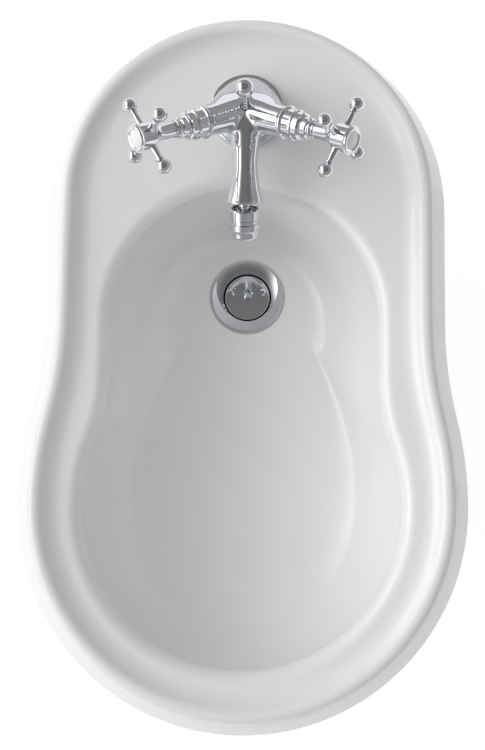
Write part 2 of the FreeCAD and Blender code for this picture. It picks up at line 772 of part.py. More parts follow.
def make_lift_rod(rod_end):
    """Plain rod with a turned knob: a ball on a beaded stem."""
    axis = moved(TAP, y=-dim.rod_forward)
    stem = dim.knob_height - dim.knob_stem
    rod_top = stem + dim.knob_socket
    turned("lift_rod", [
        (0, rod_end - DECK), (dim.rod_r, rod_end - DECK), (dim.rod_r, rod_top), (0, rod_top)], axis)
    waist = dim.bead_r - 0.9
    bead_arc = (dim.bead_height * dim.bead_height / 4 + 0.81) / 1.8
    plain = stem + dim.knob_socket + 1.0
    corners = [(dim.rod_r + 0.05, stem), (dim.bead_r, stem), (dim.bead_r, plain), (waist, plain + 0.8)]
    level = plain + 0.8
    for _ in range(BEADS):
        corners += [(waist, level + 0.6), (waist, level + 0.6 + dim.bead_height, bead_arc)]
        level = level + 0.6 + dim.bead_height
    ball_foot = dim.knob_height - math.sqrt(val.knob_r ** 2 - num(waist) ** 2)
    corners += [(waist, ball_foot), (0, dim.knob_height + dim.knob_r, dim.knob_r),
                (0, rod_top + 0.4), (dim.rod_r + 0.05, rod_top + 0.4)]
    turned("lift_knob", corners, axis)
    turned("rod_guide", [
        (dim.rod_r + 0.06, 0.5), (dim.rod_hole_r - 0.05, 0.5),
        (dim.rod_hole_r - 0.05, dim.guide_height), (dim.rod_r + 0.06, dim.guide_height)], axis)


# Tap, in the frame of its hole: level 0 is the deck

BRANCH = Vector(0, -val.branch_forward, val.branch_height)
VALVE_SEAT = dim.branch_length - dim.valve_bore_depth
SKIRT_FOOT = dim.branch_length + dim.bonnet_length + dim.handle_gap
CROSS_LEVEL = SKIRT_FOOT + dim.skirt_length + dim.hub_back
BEADS = 4


def branch_axis(side):
    """Unit vector along a valve branch: side 1 is right, -1 is left."""
    rise = val.branch_rise * DEG
    sweep = val.branch_sweep * DEG
    level = math.cos(rise)
    return Vector(side * level * math.cos(sweep), -level * math.sin(sweep), math.sin(rise))


def branch_frame(side):
    """Frame in the tap with Z along the branch and a level X."""
    axis = branch_axis(side)
    level = Vector(0, 0, 1).cross(axis).normalize()
    return Placement(BRANCH, Rotation(level, axis.cross(level), axis, "ZXY"))


def forward_frame(point, tilt):
    """Frame in the tap with X to the right and Z forwards, tilted down."""
    axis = Vector(0, -math.cos(tilt * DEG), -math.sin(tilt * DEG))
    across = Vector(1, 0, 0)
    return Placement(point, Rotation(across, axis.cross(across), axis, "ZXY"))


SPOUT_LIP = Vector(0, -val.spout_reach, val.spout_drop)
LIP_FRAME = forward_frame(SPOUT_LIP, val.spout_tilt)
BALL_CENTRE = LIP_FRAME.multVec(Vector(0, 0, val.ball_forward))
NOZZLE = TAP * forward_frame(BALL_CENTRE, val.nozzle_tilt)
NECK_SHARE = 0.56
SADDLE_R = dim.branch_root_r + 1.0


def spout_station(share):
    """Centre and tilt of the spout at a share of its length, on a cubic curve."""
    pull = (val.spout_reach - val.branch_forward) / 3
    start = forward_frame(BRANCH, -val.spout_lift).Rotation.multVec(Vector(0, 0, pull))
    finish = LIP_FRAME.Rotation.multVec(Vector(0, 0, pull))
    points = [BRANCH, BRANCH + start, SPOUT_LIP - finish, SPOUT_LIP]
    rest = 1 - share
    centre = (points[0] * rest ** 3 + points[1] * (3 * rest ** 2 * share)
              + points[2] * (3 * rest * share ** 2) + points[3] * share ** 3)
    heading = ((points[1] - points[0]) * rest ** 2 + (points[2] - points[1]) * (2 * rest * share)
               + (points[3] - points[2]) * share ** 2)
    return forward_frame(centre, math.atan2(-heading.z, -heading.y) / DEG)


def spout_radius(share):
    neck = dim.spout_neck_r
    if share < NECK_SHARE:
        return neck + (SADDLE_R - neck) * (1 - share / NECK_SHARE) ** 1.2
    return neck + (dim.spout_lip_r - neck) * ((share - NECK_SHARE) / (1 - NECK_SHARE)) ** 2


def upright(x=0.0, y=0.0):
    """Offset that moves a sketch of the XZ plane to an upright axis at x, y."""
    return Placement(Vector(num(x), 0, -num(y)), Rotation())


def lengthwise(frame):
    """Offset for a sketch of the XY plane whose X runs along the Z of a frame."""
    turn = frame.Rotation
    x, y, z = (turn.multVec(v) for v in (Vector(1, 0, 0), Vector(0, 1, 0), Vector(0, 0, 1)))
    return Placement(frame.Base, Rotation(z, x, y, "XYZ"))


def make_tap_body():
    """Bell on a spigot, two valve branches and the curved spout, bored for what fits inside."""
    body = new_body("tap_body")
    foot = dim.base_height + 0.05
    spigot = dim.spigot_r - 0.1
    revolve(body, [(0, 0.05), (spigot, 0.05), (spigot, foot + 2.0), (0, foot + 2.0)])
    bell = []
    for share in (0.0, 0.06, 0.25, 0.5, 0.75, 1.0):
        flare = (1 - share) ** 2.2
        radius = dim.bell_waist_r + (dim.bell_r - dim.bell_waist_r) * flare
        level = num(foot) + (val.branch_height - num(foot)) * share
        lean = -val.branch_forward * smooth_step(share)
        bell.append(circle_section(body, radius, Placement(Vector(0, lean, level), Rotation())))
    loft(body, bell)
    loft(body, [circle_section(body, spout_radius(s), spout_station(s))
                for s in (0, 0.2, 0.4, 0.6, 0.75, 0.88, 1)])
    dome = SADDLE_R
    dome_foot = dim.branch_height - 6.0
    flat = math.sqrt(num(dome) ** 2 - 36.0)
    revolve(body, [(0, dome_foot), (flat, dome_foot), (0, dim.branch_height + dome, dome)],
            upright(0, -dim.branch_forward))
    for side in (-1, 1):
        along = lengthwise(branch_frame(side))
        end = dim.branch_length
        revolve(body, [(0, 0), (end, 0), (end, dim.branch_end_r), (0, dim.branch_root_r)],
                along, "XY_Plane", "H_Axis")
    for side in (-1, 1):
        along = lengthwise(branch_frame(side))
        end = dim.branch_length + 1.0
        start = VALVE_SEAT
        revolve(body, [(start, 0), (end, 0), (end, dim.valve_bore_r), (start, dim.valve_bore_r)],
                along, "XY_Plane", "H_Axis", cut=True)
        drill = dim.inlet_depth + dim.inlet_r / 2
        revolve(body, [(0, -1.0), (dim.inlet_r, -1.0), (dim.inlet_r, dim.inlet_depth), (0, drill)],
                upright(dim.inlet_x * side, dim.inlet_back), cut=True)
    hole = dim.rod_hole_r
    top = dim.branch_height + dim.branch_root_r * 2
    revolve(body, [(0, -1.0), (hole, -1.0), (hole, top), (0, top)], upright(0, -dim.rod_forward), cut=True)
    stud = dim.stud_r + 0.05
    revolve(body, [(0, -1.0), (stud, -1.0), (stud, dim.stud_grip + 0.5), (0, dim.stud_grip + 0.5)],
            upright(0, dim.stud_back), cut=True)
    mouth = dim.spout_lip_r - dim.spout_wall
    shank = dim.shank_r + 0.1
    revolve(body, [
        (-dim.shank_length - 0.5, 0), (1.0, 0), (1.0, mouth), (-0.6, mouth),
        (-dim.mouth_depth, dim.collar_r + 0.4), (-dim.mouth_depth, shank),
        (-dim.shank_length - 0.5, shank)],
        lengthwise(LIP_FRAME), "XY_Plane", "H_Axis", cut=True)
    return keep(body, "tap_body", TAP)


def make_base():
    """Ring under the bell with its seal, and the stud, washers and nut under the deck."""
    inner = dim.spigot_r
    groove_in = inner + 2.0
    groove_out = dim.base_r - 2.4
    turned("base_ring", [
        (inner, 0), (groove_in, 0), (groove_in, 2.0), (groove_out, 2.0), (groove_out, 0),
        (dim.base_r, 0), (dim.base_r, dim.base_height - 1.8),
        (dim.base_r - 1.8, dim.base_height, 1.8), (inner, dim.base_height)], TAP)
    turned("base_seal", [
        (groove_in + 0.1, 0), (groove_out - 0.1, 0), (groove_out - 0.1, 1.9), (groove_in + 0.1, 1.9)], TAP)
    under = -dim.deck_thick
    seal_foot = under - dim.washer_seal
    plate_foot = seal_foot - dim.washer_plate
    slot_back = dim.inlet_back + dim.inlet_r + 1.2
    slot_front = slot_back - dim.washer_r * 2
    washers = (("fixing_seal", seal_foot, dim.washer_seal),
               ("fixing_plate", plate_foot, dim.washer_plate))
    for label, low, thick in washers:
        disc = primitive("Part::Cylinder", f"{label}_disc", moved(TAP, z=low),
                         Radius=dim.washer_r, Height=thick)
        slot = primitive("Part::Box", f"{label}_slot", moved(TAP, -dim.washer_slot / 2, slot_front, low),
                         Length=dim.washer_slot, Width=dim.washer_r * 2, Height=thick)
        hole = primitive("Part::Cylinder", f"{label}_hole", moved(TAP, 0, dim.stud_back, low),
                         Radius=dim.stud_r + 0.2, Height=thick)
        keep(cut_away(label, disc, [slot, hole]), label)
    place = moved(TAP, 0, dim.stud_back, plate_foot - dim.fixing_nut_height)
    nut = primitive("Part::Prism", "fixing_nut_blank", place,
                    Circumradius=dim.fixing_nut_r, Height=dim.fixing_nut_height)
    hole = primitive("Part::Cylinder", "fixing_nut_hole", place,
                     Radius=dim.stud_r + 0.1, Height=dim.fixing_nut_height)
    keep(cut_away("fixing_nut", nut, [hole]), "fixing_nut")
    stud = primitive("Part::Cylinder", "fixing_stud", Radius=dim.stud_r, Height=dim.stud_length)
    keep(stud, "fixing_stud", moved(TAP, 0, dim.stud_back, dim.stud_grip - dim.stud_length))


def make_nozzle():
    """Ball stub in the spout, its seat ring and the tilting nozzle with its aerator."""
    ball = dim.ball_r
    neck = dim.ball_neck_r
    ball_back = val.ball_forward - math.sqrt(val.ball_r ** 2 - val.ball_neck_r ** 2)
    ball_face = val.ball_forward + math.sqrt(val.ball_r ** 2 - val.ball_neck_r ** 2)
    water = neck - 1.9
    seat = -dim.mouth_depth + 0.1
    turned("swivel_ball", [
        (water, -dim.shank_length), (dim.shank_r, -dim.shank_length), (dim.shank_r, seat),
        (dim.collar_r, seat), (dim.collar_r, seat + 2.0), (neck, seat + 4.0), (neck, ball_back),
        (neck, ball_face, ball), (water, ball_face)], TAP * LIP_FRAME)
    hollow = ball + dim.ball_gap
    outer = hollow + dim.seat_thick
    half = dim.seat_half
    hollow_edge = math.sqrt(num(hollow) ** 2 - val.seat_half ** 2)
    outer_edge = math.sqrt(num(outer) ** 2 - val.seat_half ** 2)
    turned("ball_seat", [
        (hollow_edge, -half, -hollow), (outer_edge, -half), (outer_edge, half, outer),
        (hollow_edge, half)], NOZZLE)

    socket = outer + dim.ball_gap
    head = dim.nozzle_head
    head_edge = math.sqrt(num(socket) ** 2 - val.nozzle_head ** 2)
    throat = dim.insert_r - 1.0
    throat_level = math.sqrt(num(socket) ** 2 - num(throat) ** 2)
    body_r = dim.nozzle_r
    end = dim.nozzle_length
    insert_foot = dim.insert_foot
    bore = dim.insert_r + 0.05
    turned("nozzle_housing", [
        (head_edge, -head, -socket), (body_r - 0.7, -head), (body_r, -head + 0.8), (body_r, head - 2.4),
        (body_r - 0.7, head - 1.6), (body_r - 0.7, head + 0.6), (body_r + 0.6, head + 1.4),
        (body_r + 0.6, head + 5.6), (body_r - 0.4, head + 6.6), (body_r - 0.7, head + 7.2),
        (body_r - 0.9, end - 3.0), (dim.nozzle_tip_r, end, 3.5), (bore, end),
        (bore, insert_foot), (throat, insert_foot), (throat, throat_level)], NOZZLE)
    mesh_foot = end - 1.0
    levels = (("aerator_insert", insert_foot + 0.05, mesh_foot),
              ("aerator_mesh", mesh_foot + 0.05, mesh_foot + 0.5))
    for label, low, high in levels:
        turned(label, [(0, low), (dim.insert_r, low), (dim.insert_r, high), (0, high)], NOZZLE)


def make_valve(name, side):
    """Quarter-turn valve in one branch with the bonnet over it. Levels run along the branch."""
    frame = TAP * branch_frame(side)
    seal_foot = VALVE_SEAT
    discs = seal_foot + dim.valve_seal_thick + 0.05
    loose = dim.disc_r - 0.3
    turned(f"{name}_valve_seal", [
        (dim.disc_r - 2.0, seal_foot), (dim.valve_bore_r - 0.1, seal_foot),
        (dim.valve_bore_r - 0.1, discs - 0.05), (dim.disc_r - 2.0, discs - 0.05)], frame)
    turned(f"{name}_fixed_disc", [
        (dim.spindle_r / 2, discs), (dim.disc_r, discs), (dim.disc_r, discs + dim.disc_thick),
        (dim.spindle_r / 2, discs + dim.disc_thick)], frame)
    turning = discs + dim.disc_thick + 0.05
    turned_top = turning + dim.disc_thick
    turned(f"{name}_moving_disc", [
        (0, turning), (loose, turning), (loose, turned_top), (0, turned_top)], frame)
    driver = turned_top + 0.05
    shoulder = driver + dim.disc_thick
    spindle_top = CROSS_LEVEL + dim.hub_front - dim.spindle_drop
    thread = dim.screw_r + 0.05
    thread_foot = spindle_top - dim.screw_grip - 1.0
    turned(f"{name}_spindle", [
        (0, driver), (loose, driver), (loose, shoulder), (dim.spindle_r, shoulder),
        (dim.spindle_r, spindle_top), (thread, spindle_top), (thread, thread_foot), (0, thread_foot)],
        frame)
    cavity = dim.disc_r + 0.05
    barrel = dim.valve_bore_r - dim.valve_fit
    bore = dim.spindle_r + dim.spindle_fit
    seat = dim.branch_length
    flange = seat + dim.valve_flange_thick
    neck_top = seat + dim.bonnet_length - dim.bonnet_crown
    flange_r = dim.branch_end_r - 0.6
    turned(f"{name}_valve_body", [
        (cavity, discs), (barrel, discs), (barrel, seat), (flange_r, seat), (flange_r, flange),
        (dim.valve_neck_r, flange), (dim.valve_neck_r, neck_top - 0.2), (bore, neck_top - 0.2),
        (bore, shoulder + 0.1), (cavity, shoulder + 0.1)], frame)

    # Bonnet: a bold ring, then rings that step down to a beaded nose
    r = dim.bonnet_r
    length = dim.bonnet_length
    inner = flange_r + 0.1
    turned(f"{name}_bonnet", [
        (inner, seat + 0.05), (r - 0.8, seat + 0.05), (r - 0.8, seat + length * 0.11, 1.7),
        (r - 1.6, seat + length * 0.13), (r - 1.8, seat + length * 0.35), (r - 1.1, seat + length * 0.37),
        (r - 1.3, seat + length * 0.42), (r - 2.2, seat + length * 0.45), (r - 2.6, seat + length * 0.60),
        (r - 4.1, seat + length * 0.62), (r - 3.9, seat + length * 0.68), (r - 4.6, seat + length * 0.70),
        (r - 4.8, seat + length * 0.84), (r - 6.3, seat + length * 0.87), (r - 6.3, seat + length * 0.90),
        (r - 6.3, seat + length, 1.5), (bore + 0.5, seat + length), (bore + 0.5, neck_top),
        (dim.valve_neck_r + 0.2, neck_top), (dim.valve_neck_r + 0.2, flange + 0.1),
        (inner, flange + 0.1)], frame)


def make_handle(name, side, phase):
    """Cross handle with four ball-ended arms, its screw, bezel ring and porcelain index."""
    frame = TAP * branch_frame(side) * Placement(Vector(0, 0, 0), Rotation(Vector(0, 0, 1), phase))
    middle = CROSS_LEVEL
    foot = SKIRT_FOOT
    hub_foot = middle - dim.hub_back
    face = middle + dim.hub_front
    spindle_top = face - dim.spindle_drop
    bore = dim.spindle_r + 0.05
    recess = face - dim.index_depth
    cup = dim.bezel_r - 2.3
    body = new_body(f"{name}_handle")
    revolve(body, [
        (bore, foot), (dim.skirt_r + 0.6, foot), (dim.skirt_r + 0.6, foot + 1.2),
        (dim.skirt_r, foot + 2.0), (dim.skirt_r, hub_foot - 8.0),
        (dim.hub_r - 0.8, hub_foot, -14.0), (dim.hub_r, hub_foot + 1.0),
        (dim.hub_r, face), (cup, face), (cup, recess), (dim.screw_r + 0.2, recess),
        (dim.screw_r + 0.2, spindle_top + 0.05), (bore, spindle_top + 0.05)])
    ball = dim.cross_ball_r
    arm = dim.cross_arm_r
    ball_root = dim.cross_r - math.sqrt(val.cross_ball_r ** 2 - val.cross_arm_r ** 2)
    root = dim.hub_r - 1.2
    spoke = revolve(body, [
        (root, 0), (dim.cross_r + ball, 0), (ball_root, arm, ball), (ball_root - 0.6, arm + 0.8),
        (ball_root - 1.6, arm + 0.8), (ball_root - 2.2, arm), (root + 4.0, arm + 0.4), (root, arm + 1.1)],
        Placement(Vector(0, num(CROSS_LEVEL), 0), Rotation()), "XZ_Plane", "H_Axis")
    pattern = body.newObject("PartDesign::PolarPattern", f"{name}_spokes")
    pattern.Originals = [spoke]
    pattern.Axis = (origin_feature(body, "Z_Axis"), [""])
    pattern.Angle = 360.0
    pattern.Occurrences = 4
    body.Tip = pattern
    keep(body, f"{name}_handle", frame)
    head = recess + 0.05
    screw_foot = spindle_top - dim.screw_grip
    turned(f"{name}_handle_screw", [
        (0, screw_foot), (dim.screw_r, screw_foot), (dim.screw_r, head),
        (dim.screw_head_r, head), (dim.screw_head_r, head + 2.4), (0, head + 2.4)], frame)
    sleeve = head + 2.6
    top = face + dim.bezel_height
    bezel = dim.bezel_r
    inner = dim.index_r + 0.1
    turned(f"{name}_index_ring", [
        (inner, sleeve), (cup - 0.1, sleeve), (cup - 0.1, face + 0.05), (bezel - 0.4, face + 0.05),
        (bezel, face + 0.5), (bezel, face + 1.2), (bezel - 0.9, face + 1.5), (bezel - 1.1, top - 0.6),
        (bezel - 2.0, top, 1.0), (bezel - 2.8, top), (inner, top - 0.6)], frame)
    rim = top - 0.8
    dome = 1.2
    dome_r = (dim.index_r * dim.index_r + dome * dome) / (2 * dome)
    turned(f"{name}_index", [
        (0, sleeve), (dim.index_r, sleeve), (dim.index_r, rim), (0, rim + dome, dome_r)], frame)


make_flange()
make_plug()
make_waste_body()
make_lever()
make_lift_rod(make_strap())
make_tap_body()
make_base()
make_nozzle()
for name, side, phase in (("hot", -1, val.hot_phase), ("cold", 1, val.cold_phase)):
    make_valve(name, side)
    make_handle(name, side, phase)

# Nothing is written unless every feature is sound
doc.recompute()
for item in doc.Objects:
    if "Invalid" in item.State or "Error" in item.State:
        raise RuntimeError(f"{item.Label} failed: {item.State}")
for piece in subparts:
    if piece.Shape.isNull() or not piece.Shape.isValid():
        raise RuntimeError(f"{piece.Label} has no sound shape")

os.makedirs("parts", exist_ok=True)
for piece in subparts:
    piece.Shape.exportStep(f"parts/{piece.Label}.step")
    print(f"{piece.Label}: {len(piece.Shape.Solids)} solid, {piece.Shape.Volume:.0f} mm3")
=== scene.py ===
import json
import math

import bmesh
import bpy
from mathutils import Matrix, Vector


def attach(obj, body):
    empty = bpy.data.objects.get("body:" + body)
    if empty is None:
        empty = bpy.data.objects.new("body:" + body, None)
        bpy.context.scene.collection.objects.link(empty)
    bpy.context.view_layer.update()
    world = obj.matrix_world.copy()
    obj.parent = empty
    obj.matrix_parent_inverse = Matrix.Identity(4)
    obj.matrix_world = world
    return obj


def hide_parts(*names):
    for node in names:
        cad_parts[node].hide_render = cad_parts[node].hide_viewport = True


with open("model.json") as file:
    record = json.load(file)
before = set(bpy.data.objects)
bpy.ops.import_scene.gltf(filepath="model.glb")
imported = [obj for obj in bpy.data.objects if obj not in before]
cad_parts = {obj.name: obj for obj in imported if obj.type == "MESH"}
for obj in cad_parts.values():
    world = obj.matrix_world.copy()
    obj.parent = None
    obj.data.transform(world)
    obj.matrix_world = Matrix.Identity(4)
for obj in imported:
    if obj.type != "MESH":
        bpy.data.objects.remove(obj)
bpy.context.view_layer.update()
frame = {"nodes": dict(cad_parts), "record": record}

MM = 0.001
UP = Vector((0, 0, 1))
SAME_CORNER = 0.002 * MM
SHARP_EDGE = math.radians(28)
nodes = frame["nodes"]
joints = {joint["name"]: joint for joint in frame["record"]["behaviour"]["joints"]}
slot_of = {part["node"]: part["material_slot"] for part in frame["record"]["subparts"]}


# Materials

# Metres between two bands of a wave texture at scale 1
BAND_WIDTH = 0.31
# Pitches in millimetres
FEED_PITCH = 0.8
THREAD_PITCH = 1.25
WIRE_PITCH = 1.0


def linear(colour):
    """An sRGB hex colour as linear RGBA."""
    parts = [int(colour[i:i + 2], 16) / 255 for i in (1, 3, 5)]
    return tuple(c / 12.92 if c <= 0.04045 else ((c + 0.055) / 1.055) ** 2.4 for c in parts) + (1.0,)


def add(tree, kind, inputs=None, **settings):
    """Adds a node; an input takes a number, a colour or another node's socket."""
    node = tree.nodes.new(kind)
    for name, value in settings.items():
        setattr(node, name, value)
    for key, value in (inputs or {}).items():
        if isinstance(value, bpy.types.NodeSocket):
            tree.links.new(value, node.inputs[key])
        else:
            node.inputs[key].default_value = value
    return node


def blank_material(name):
    material = bpy.data.materials.new(name)
    material.use_nodes = True
    tree = material.node_tree
    tree.nodes.clear()
    return material, tree


def glazed_china():
    # Vitreous china, slip-cast and fired under a clear glaze: a hard wet gloss over a soft white
    # body, with a faint orange peel and bare matt clay on the ring that stands on the floor.
    material, tree = blank_material("glazed_vitreous_china")
    place = add(tree, "ShaderNodeTexCoord").outputs["Object"]
    cloud = add(tree, "ShaderNodeTexNoise", {"Vector": place, "Scale": 1 / (90 * MM), "Detail": 3.0})
    white = add(tree, "ShaderNodeMix", {
        "Factor": cloud.outputs["Fac"], "A": linear("#f0f0f1"), "B": linear("#f4f4f5")},
        data_type="RGBA")
    level = add(tree, "ShaderNodeSeparateXYZ", {"Vector": place}).outputs["Z"]
    bare = add(tree, "ShaderNodeMapRange", {
        "Value": level, "From Min": 2.5 * MM, "From Max": 4 * MM, "To Min": 1.0, "To Max": 0.0})
    colour = add(tree, "ShaderNodeMix", {
        "Factor": bare.outputs["Result"], "A": white.outputs["Result"], "B": linear("#e4dccd")},
        data_type="RGBA")
    sheen = add(tree, "ShaderNodeTexNoise", {"Vector": place, "Scale": 1 / (25 * MM), "Detail": 2.0})
    gloss = add(tree, "ShaderNodeMapRange", {
        "Value": sheen.outputs["Fac"], "To Min": 0.10, "To Max": 0.15})
    rough = add(tree, "ShaderNodeMix", {
        "Factor": bare.outputs["Result"], "A": gloss.outputs["Result"], "B": 0.8}, data_type="FLOAT")
    # Orange peel of a poured glaze: swells about 7 mm apart and a few hundredths high
    peel = add(tree, "ShaderNodeTexNoise", {"Vector": place, "Scale": 1 / (7 * MM), "Detail": 1.0})
    bump = add(tree, "ShaderNodeBump", {
        "Height": peel.outputs["Fac"], "Strength": 0.35, "Distance": 0.03 * MM})
    surface = add(tree, "ShaderNodeBsdfPrincipled", {
        "Base Color": colour.outputs["Result"], "Roughness": rough.outputs["Result"], "IOR": 1.52,
        "Normal": bump.outputs["Normal"]})
    add(tree, "ShaderNodeOutputMaterial", {"Surface": surface.outputs["BSDF"]})
    return material


def polished_chrome():
    # Chrome plate on buffed brass: a bright, slightly blue mirror with hairline wipe marks that
    # only show as a breath of softness in the reflections.
    material, tree = blank_material("polished_chrome_plate")
    place = add(tree, "ShaderNodeTexCoord").outputs["Object"]
    film = add(tree, "ShaderNodeTexNoise", {"Vector": place, "Scale": 1 / (12 * MM), "Detail": 4.0})
    gloss = add(tree, "ShaderNodeMapRange", {
        "Value": film.outputs["Fac"], "From Min": 0.3, "From Max": 0.7, "To Min": 0.03, "To Max": 0.075})
    ripple = add(tree, "ShaderNodeTexNoise", {"Vector": place, "Scale": 1 / (9 * MM), "Detail": 1.0})
    bump = add(tree, "ShaderNodeBump", {
        "Height": ripple.outputs["Fac"], "Strength": 0.25, "Distance": 0.02 * MM})
    surface = add(tree, "ShaderNodeBsdfPrincipled", {
        "Base Color": linear("#dfe1e4"), "Metallic": 1.0, "Roughness": gloss.outputs["Result"],
        "Normal": bump.outputs["Normal"]})
    add(tree, "ShaderNodeOutputMaterial", {"Surface": surface.outputs["BSDF"]})
    return material


def index_porcelain():
    # Small pressed porcelain buttons, glazed: a plain warm white with a soft gloss.
    material, tree = blank_material("index_porcelain")
    place = add(tree, "ShaderNodeTexCoord").outputs["Object"]
    cloud = add(tree, "ShaderNodeTexNoise", {"Vector": place, "Scale": 1 / (6 * MM), "Detail": 2.0})
    white = add(tree, "ShaderNodeMix", {
        "Factor": cloud.outputs["Fac"], "A": linear("#f3f2ee"), "B": linear("#f8f7f4")},
        data_type="RGBA")
    bump = add(tree, "ShaderNodeBump", {
        "Height": cloud.outputs["Fac"], "Strength": 0.2, "Distance": 0.02 * MM})
    surface = add(tree, "ShaderNodeBsdfPrincipled", {
        "Base Color": white.outputs["Result"], "Roughness": 0.1, "IOR": 1.5,
        "Normal": bump.outputs["Normal"]})
    add(tree, "ShaderNodeOutputMaterial", {"Surface": surface.outputs["BSDF"]})
    return material


def machined_brass():
    # Turned brass left plain: yellow, with tool lines and dull tarnish in patches.
    material, tree = blank_material("machined_brass")
    place = add(tree, "ShaderNodeTexCoord").outputs["Object"]
    patch = add(tree, "ShaderNodeTexNoise", {"Vector": place, "Scale": 1 / (14 * MM), "Detail": 5.0})
    colour = add(tree, "ShaderNodeMix", {
        "Factor": patch.outputs["Fac"], "A": linear("#a98545"), "B": linear("#d3b06a")},
        data_type="RGBA")
    rough = add(tree, "ShaderNodeMapRange", {
        "Value": patch.outputs["Fac"], "To Min": 0.45, "To Max": 0.22})
    # Feed lines of the lathe are about 0.1 mm apart; they are drawn at 0.8 mm so that they show
    lines = add(tree, "ShaderNodeTexWave", {
        "Vector": place, "Scale": BAND_WIDTH / (FEED_PITCH * MM), "Distortion": 0.4, "Detail": 1.0},
        wave_type="BANDS", bands_direction="Z")
    bump = add(tree, "ShaderNodeBump", {
        "Height": lines.outputs["Fac"], "Strength": 0.3, "Distance": 0.02 * MM})
    surface = add(tree, "ShaderNodeBsdfPrincipled", {
        "Base Color": colour.outputs["Result"], "Metallic": 1.0, "Roughness": rough.outputs["Result"],
        "Normal": bump.outputs["Normal"]})
    add(tree, "ShaderNodeOutputMaterial", {"Surface": surface.outputs["BSDF"]})
    return material


def threaded_steel():
    # Stainless steel as machined: grey, satin, with the ridges of a thread.
    material, tree = blank_material("threaded_stainless_steel")
    place = add(tree, "ShaderNodeTexCoord").outputs["Object"]
    grain = add(tree, "ShaderNodeTexNoise", {"Vector": place, "Scale": 1 / (3 * MM), "Detail": 4.0})
    rough = add(tree, "ShaderNodeMapRange", {
        "Value": grain.outputs["Fac"], "To Min": 0.25, "To Max": 0.42})
    ridges = add(tree, "ShaderNodeTexWave", {
        "Vector": place, "Scale": BAND_WIDTH / (THREAD_PITCH * MM)},
        wave_type="BANDS", bands_direction="Z")
    bump = add(tree, "ShaderNodeBump", {
        "Height": ridges.outputs["Fac"], "Strength": 0.8, "Distance": 0.3 * THREAD_PITCH * MM})
    surface = add(tree, "ShaderNodeBsdfPrincipled", {
        "Base Color": linear("#c3c5c8"), "Metallic": 1.0, "Roughness": rough.outputs["Result"],
        "Normal": bump.outputs["Normal"]})
    add(tree, "ShaderNodeOutputMaterial", {"Surface": surface.outputs["BSDF"]})
    return material


def woven_mesh():
    # Stainless wire cloth over the outlet: bright wires, with painted shade in the holes between them. The
    # wires of a real one are 0.5 mm apart; they are drawn at 1 mm so that they show.
    material, tree = blank_material("woven_steel_mesh")
    place = add(tree, "ShaderNodeTexCoord").outputs["Object"]
    sway = Vector(joints["nozzle_sway"]["axis"])
    lean = math.atan2(sway.z, -sway.y)
    tilted = add(tree, "ShaderNodeMapping", {"Vector": place, "Rotation": (lean, 0.0, 0.0)})
    cells = add(tree, "ShaderNodeTexVoronoi", {
        "Vector": tilted.outputs["Vector"], "Scale": 1 / (WIRE_PITCH * MM), "Randomness": 0.0},
        distance="CHEBYCHEV", feature="F1")
    wire = add(tree, "ShaderNodeMapRange", {
        "Value": cells.outputs["Distance"], "From Min": 0.28, "From Max": 0.36})
    # The near-black colour in the holes is painted shade, for the dark inside of the outlet seen between
    # the wires
    colour = add(tree, "ShaderNodeMix", {
        "Factor": wire.outputs["Result"], "A": linear("#1d1e20"), "B": linear("#b7babd")},
        data_type="RGBA")
    bump = add(tree, "ShaderNodeBump", {
        "Height": wire.outputs["Result"], "Strength": 1.0, "Distance": 0.25 * MM})
    surface = add(tree, "ShaderNodeBsdfPrincipled", {
        "Base Color": colour.outputs["Result"], "Metallic": 0.8, "Roughness": 0.35,
        "Normal": bump.outputs["Normal"]})
    add(tree, "ShaderNodeOutputMaterial", {"Surface": surface.outputs["BSDF"]})
    return material


def moulded_rubber():
    # Black nitrile rubber from a mould: deep grey-black, dull, with a bloom of talc.
    material, tree = blank_material("moulded_rubber")
    place = add(tree, "ShaderNodeTexCoord").outputs["Object"]
    bloom = add(tree, "ShaderNodeTexNoise", {"Vector": place, "Scale": 1 / (5 * MM), "Detail": 5.0})
    colour = add(tree, "ShaderNodeMix", {
        "Factor": bloom.outputs["Fac"], "A": linear("#141415"), "B": linear("#2a2a2b")},
        data_type="RGBA")
    bump = add(tree, "ShaderNodeBump", {
        "Height": bloom.outputs["Fac"], "Strength": 0.3, "Distance": 0.05 * MM})
    surface = add(tree, "ShaderNodeBsdfPrincipled", {
        "Base Color": colour.outputs["Result"], "Roughness": 0.7, "Normal": bump.outputs["Normal"]})
    add(tree, "ShaderNodeOutputMaterial", {"Surface": surface.outputs["BSDF"]})
    return material


def moulded_plastic():
    # White acetal, injection moulded: slightly milky, satin, with a fine spark-eroded grain.
    material, tree = blank_material("white_acetal")
    place = add(tree, "ShaderNodeTexCoord").outputs["Object"]
    grain = add(tree, "ShaderNodeTexNoise", {"Vector": place, "Scale": 1 / (0.6 * MM), "Detail": 2.0})
    colour = add(tree, "ShaderNodeMix", {
        "Factor": grain.outputs["Fac"], "A": linear("#dededa"), "B": linear("#ebebe7")},
        data_type="RGBA")
    bump = add(tree, "ShaderNodeBump", {
        "Height": grain.outputs["Fac"], "Strength": 0.2, "Distance": 0.03 * MM})
    surface = add(tree, "ShaderNodeBsdfPrincipled", {
        "Base Color": colour.outputs["Result"], "Roughness": 0.38, "IOR": 1.48,
        "Normal": bump.outputs["Normal"]})
    add(tree, "ShaderNodeOutputMaterial", {"Surface": surface.outputs["BSDF"]})
    return material


